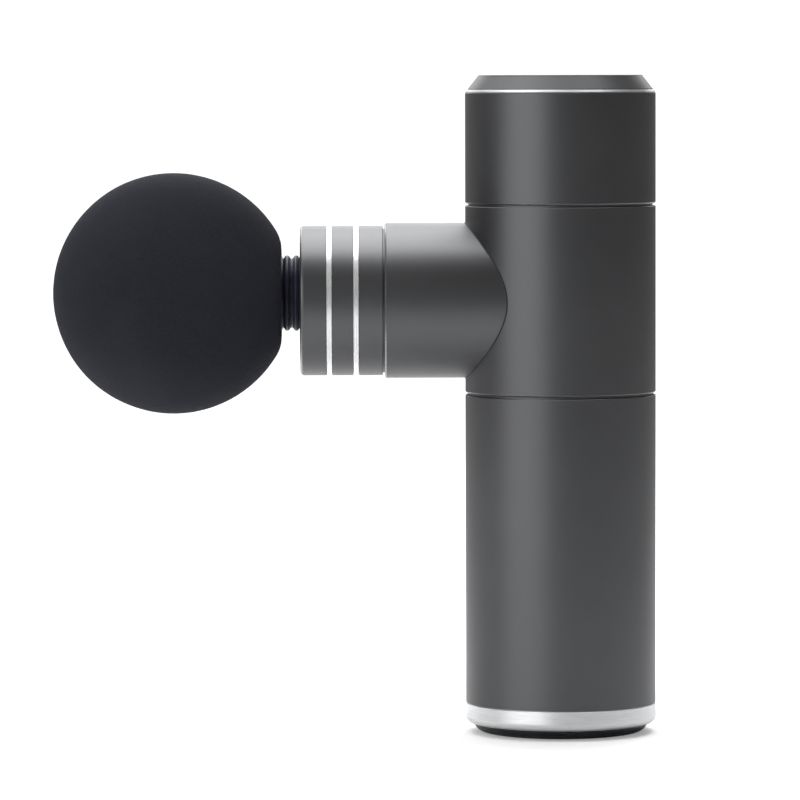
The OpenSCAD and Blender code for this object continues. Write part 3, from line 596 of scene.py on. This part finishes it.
# ---------------------------------------------------------------- power button with a dished face and a power mark
def build_button():
    lo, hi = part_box("power_button")
    r = 5.0
    z0 = lo.z / MM
    pts = [(z0 + 0.42, 0.0)]
    for i in range(1, 25):
        t = i / 24
        pts.append((z0 + 0.42 - 0.30 * t ** 2.2, (r - 0.62) * t))
    pts += [(z0 + 0.06, r - 0.52), (z0 + 0.01, r - 0.44)]
    pts += [(z0 + 0.35 + 0.35 * math.sin(math.radians(a)), r - 0.35 + 0.35 * math.cos(math.radians(a))) for a in (-82, -65, -45, -25, -8)]
    pts += [(z0 + 0.45, r), (2.15, r), (2.15, r + 1.2), (2.75, r + 1.2), (2.75, 1.6), (2.95, 1.6), (2.95, 0.0)]
    bm = bmesh.new()
    lathe(bm, pts, 160, on_body)
    o = new_object("button_cap", bm, M["button"], True, math.radians(32))
    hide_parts("power_button")
    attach(o, "button")

    def dish(rad):
        return z0 + 0.42 - 0.30 * min(1.0, rad / (r - 0.62)) ** 2.2

    # an open ring and a bar, standing 0.04 mm proud of the dish
    bm = bmesh.new()
    w, rr, t = 0.30, 1.55, 0.04
    n = 60
    loops = []
    for i in range(n + 1):
        a = math.radians(90 + 38 + (360 - 76) * i / n)
        row = []
        for rad in (rr - w / 2, rr + w / 2):
            for dz in (-0.08, t):
                row.append(bm.verts.new(Vector((rad * math.cos(a), rad * math.sin(a), dish(rad) - dz)) * MM))
        loops.append(row)
    for a, b in zip(loops, loops[1:]):
        for i, j in ((0, 1), (1, 3), (3, 2), (2, 0)):
            bm.faces.new((a[i], b[i], b[j], a[j]))
    for e in (loops[0], loops[-1]):
        bm.faces.new((e[0], e[1], e[3], e[2]))
    half, y0, y1 = w / 2, 0.55, 2.15
    rows = []
    for i in range(9):
        y = y0 + (y1 - y0) * i / 8
        rows.append([bm.verts.new(Vector((sx * half, y, dish(y) - dz)) * MM) for sx in (-1, 1) for dz in (-0.08, t)])
    for a, b in zip(rows, rows[1:]):
        for i, j in ((0, 1), (1, 3), (3, 2), (2, 0)):
            bm.faces.new((a[i], b[i], b[j], a[j]))
    for e in (rows[0], rows[-1]):
        bm.faces.new((e[0], e[1], e[3], e[2]))
    k = new_object("button_mark", bm, M["icon"], False)
    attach(k, "button")


build_button()


# ---------------------------------------------------------------- tongue and contacts inside the charging port
def rounded_bar(bm, y0, y1, hx, hz, zc, nose):
    """A bar along Y with its nose rounded in Z."""
    prof = [(y0, hz), (y1 - nose, hz)] + [(y1 - nose + nose * math.sin(math.radians(a)), hz - nose * 0.6 * (1 - math.cos(math.radians(a)))) for a in (30, 60, 90)]
    ring = [(y, z) for y, z in prof] + [(y, -z) for y, z in reversed(prof)]
    a = [bm.verts.new(Vector((-hx, y, zc + z)) * MM) for y, z in ring]
    b = [bm.verts.new(Vector((hx, y, zc + z)) * MM) for y, z in ring]
    n = len(ring)
    for i in range(n):
        bm.faces.new((a[i], a[(i + 1) % n], b[(i + 1) % n], b[i]))
    bm.faces.new(a)
    bm.faces.new(list(reversed(b)))


def build_port():
    lo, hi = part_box("usb_c_socket")
    zc = (lo.z + hi.z) / 2 / MM
    bm = bmesh.new()
    rounded_bar(bm, 13.95, 19.46, 3.37, 0.39, zc, 0.35)
    o = new_object("port_tongue", bm, M["chip"], False)
    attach(o, "housing")
    bm = bmesh.new()
    for s in (-1, 1):
        for i in range(12):
            c = Vector(((i - 5.5) * 0.5, 17.4, zc + s * 0.395)) * MM
            bmesh.ops.create_cube(bm, size=1.0, matrix=Matrix.Translation(c) @ Matrix.Diagonal((0.00026, 0.0030, 0.00006, 1.0)))
    k = new_object("port_contacts", bm, M["contact"], False)
    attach(k, "housing")


build_port()


# ---------------------------------------------------------------- floor, backdrop and light
def stage_material(name, color, rough=0.7, emit=0.0):
    g = Nodes(name)
    n = g.noise(3.0, 3.0, 0.5)
    col = g.mix(g.span(n, 0.3, 0.7, 0.0, 1.0), tuple(c * 0.992 for c in color), color)
    g.set(color=col, rough=rough, spec=0.2)
    if emit:
        g.set(emit=emit, emit_color=color)
    return g.m


bm = bmesh.new()
bmesh.ops.create_circle(bm, cap_ends=True, segments=96, radius=9.0)
g = Nodes("floor_painted_pool")
x, y, z = g.xyz()
away = g.math("SQRT", g.math("ADD", g.math("MULTIPLY", x, x), g.math("MULTIPLY", y, y)))
pale = g.mix(g.noise(3.0), (0.82, 0.82, 0.82), (0.84, 0.84, 0.84))
# the floor runs from pale within 0.1 m of the object to grey beyond 0.6 m: a painted pool of light, also seen in the
# object's reflections
g.set(color=g.mix(g.span(away, 0.10, 0.60, 0.0, 1.0, True), pale, (0.56, 0.56, 0.56)), rough=0.8, spec=0.1)
floor = new_object("floor", bm, g.m, False)
floor.location.z = -0.0001

# a thin glow over the floor, seen by the camera only, so that the floor runs into the backdrop without a horizon; it is
# strongest over the far floor and fainter near the object, where it still paints light over the contact shadow
g = Nodes("floor_glow")
x, y, z = g.xyz()
far = g.math("SQRT", g.math("ADD", g.math("MULTIPLY", x, x), g.math("MULTIPLY", y, y)))
clear = g.add("ShaderNodeBsdfTransparent")
glow = g.add("ShaderNodeEmission")
g.put(glow.inputs["Strength"], g.span(far, 0.02, 0.20, 0.28, 0.97, True))
both = g.add("ShaderNodeAddShader")
g.t.links.new(clear.outputs[0], both.inputs[0])
g.t.links.new(glow.outputs[0], both.inputs[1])
g.t.links.new(both.outputs[0], g.out.inputs[0])
bm = bmesh.new()
bmesh.ops.create_circle(bm, cap_ends=True, segments=96, radius=9.0)
glow_sheet = new_object("floor_glow_sheet", bm, g.m, False)
glow_sheet.location.z = -0.00005
for f in ("visible_diffuse", "visible_glossy", "visible_transmission", "visible_volume_scatter", "visible_shadow"):
    setattr(glow_sheet, f, False)

# a bright backdrop that only the camera sees, so that the studio stays white from every side
bm = bmesh.new()
bmesh.ops.create_uvsphere(bm, u_segments=48, v_segments=24, radius=8.5)
back = new_object("backdrop", bm, stage_material("backdrop_white", (1.0, 1.0, 1.0), 1.0, 1.0), True)
for f in ("visible_diffuse", "visible_glossy", "visible_transmission", "visible_volume_scatter", "visible_shadow"):
    setattr(back, f, False)

world = bpy.data.worlds.new("studio")
scene.world = world
world.use_nodes = True
wt = world.node_tree
wt.nodes.clear()
wout = wt.nodes.new("ShaderNodeOutputWorld")
wbg = wt.nodes.new("ShaderNodeBackground")
wt.links.new(wbg.outputs[0], wout.inputs[0])
tc = wt.nodes.new("ShaderNodeTexCoord")
sep = wt.nodes.new("ShaderNodeSeparateXYZ")
wt.links.new(tc.outputs["Generated"], sep.inputs[0])
# the room is brighter behind the object than in front of it
ramp = wt.nodes.new("ShaderNodeMapRange")
ramp.interpolation_type = "SMOOTHSTEP"
wt.links.new(sep.outputs[1], ramp.inputs["Value"])
ramp.inputs["From Min"].default_value = -0.8
ramp.inputs["From Max"].default_value = 0.9
ramp.inputs["To Min"].default_value = 0.125
ramp.inputs["To Max"].default_value = 0.46
side = wt.nodes.new("ShaderNodeMapRange")
side.interpolation_type = "SMOOTHSTEP"
wt.links.new(sep.outputs[0], side.inputs["Value"])
side.inputs["From Min"].default_value = -0.3
side.inputs["From Max"].default_value = 0.8
side.inputs["To Min"].default_value = 1.0
side.inputs["To Max"].default_value = 0.60
both_ways = wt.nodes.new("ShaderNodeMath")
both_ways.operation = "MULTIPLY"
wt.links.new(ramp.outputs[0], both_ways.inputs[0])
wt.links.new(side.outputs[0], both_ways.inputs[1])
wt.links.new(both_ways.outputs[0], wbg.inputs["Strength"])
wbg.inputs["Color"].default_value = (0.985, 0.99, 1.0, 1.0)


def area(name, loc, target, size, size_y, power, color=(1, 1, 1)):
    d = bpy.data.lights.new(name, "AREA")
    d.shape = "RECTANGLE"
    d.size, d.size_y = size, size_y
    d.energy = power
    d.color = color
    o = bpy.data.objects.new(name, d)
    scene.collection.objects.link(o)
    o.location = loc
    o.rotation_euler = (Vector(target) - Vector(loc)).to_track_quat("-Z", "Y").to_euler()
    return o


aim = (-0.035, 0.0, 0.085)
area("overhead", (-0.07, 0.16, 0.72), (-0.05, 0.0, 0.085), 0.86, 0.74, 8.9)
area("top_back", (-0.02, 0.66, 0.46), aim, 0.90, 0.40, 2.5)
area("key_left", (-0.77, -0.74, 0.22), aim, 1.04, 0.90, 5.75, (0.985, 0.992, 1.0))

# ---------------------------------------------------------------- camera
cam_data = bpy.data.cameras.new("camera")
cam = bpy.data.objects.new("camera", cam_data)
scene.collection.objects.link(cam)
scene.camera = cam
cam_data.sensor_width = 36.0
cam_data.sensor_fit = "HORIZONTAL"
cam_data.lens = 248.7
cam_data.clip_start = 0.02
cam_data.clip_end = 60.0
cam_data.dof.use_dof = False
cam_at = Vector((-0.0440, -1.213, 0.1450))
look_at = Vector((-0.0353, 0.0, 0.0731))
q = (look_at - cam_at).to_track_quat("-Z", "Y")
roll = math.radians(-0.15)
cam.matrix_world = Matrix.Translation(cam_at) @ q.to_matrix().to_4x4() @ Matrix.Rotation(roll, 4, "Z")
